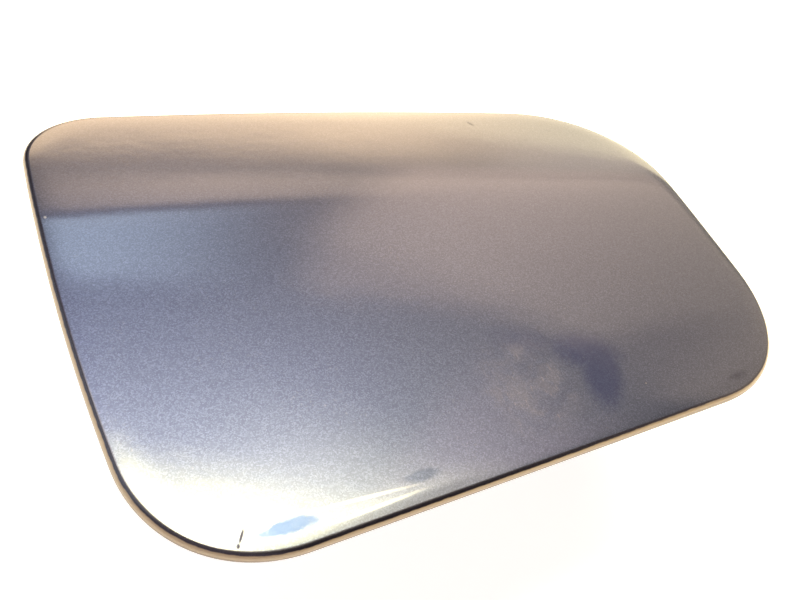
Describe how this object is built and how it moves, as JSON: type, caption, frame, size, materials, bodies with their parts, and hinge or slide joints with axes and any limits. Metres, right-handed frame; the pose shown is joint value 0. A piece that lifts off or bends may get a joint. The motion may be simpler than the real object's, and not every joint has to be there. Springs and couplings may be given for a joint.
{
  "type": "car fuel door",
  "caption": "Painted steel fuel door with a rolled hem, inner panel and gooseneck hinge arm that swings on a pin in a bolted bracket.",
  "frame": {"origin": "midway between the two foot bolt holes, on the foot's mounting face", "axes": "+Z out of the painted face, +X along the crease from the free side to the hinge side, +Y to the top edge as fitted in the car's side"},
  "size_m": [0.2419, 0.1311, 0.0639],
  "materials": {
    "blue_paint": "dark blue metallic with clear coat",
    "primer_paint": "thin body-colour overspray on primer",
    "sealer": "painted seam sealer",
    "mastic": "soft black mastic",
    "zinc_sheet": "bright zinc",
    "yellow_zinc": "yellow zinc",
    "black_coat": "black dip coat",
    "nylon": "natural nylon",
    "rubber": "matt black rubber",
    "bracket_zinc": "zinc-plated sheet",
    "pin_steel": "turned steel",
    "spring_steel": "blued spring steel"
  },
  "bodies": {
    "bracket": {"hinge_bracket": "bracket_zinc", "hinge_pin": "pin_steel", "pin_clip": "spring_steel", "upper_washer": "pin_steel", "lower_washer": "pin_steel", "open_stop": "rubber", "pop_spring": "spring_steel", "spring_rivet": "zinc_sheet"},
    "door": {"outer_skin": "blue_paint", "inner_panel": "primer_paint", "hem_sealer": "sealer", "mastic_dabs": "mastic", "hinge_backing_plate": "zinc_sheet", "arm_studs": "yellow_zinc", "arm_nuts": "yellow_zinc", "hinge_arm": "black_coat", "upper_bush": "nylon", "lower_bush": "nylon", "upper_bump_stop": "rubber", "lower_bump_stop": "rubber", "latch_striker": "zinc_sheet", "striker_rivets": "zinc_sheet"}
  },
  "joints": [
    {"name": "door_hinge", "type": "hinge", "parent": "bracket", "child": "door", "pos_m": [-0.022, 0, 0.03], "axis": [0, 1, 0], "range_deg": [0, 75]}
  ]
}
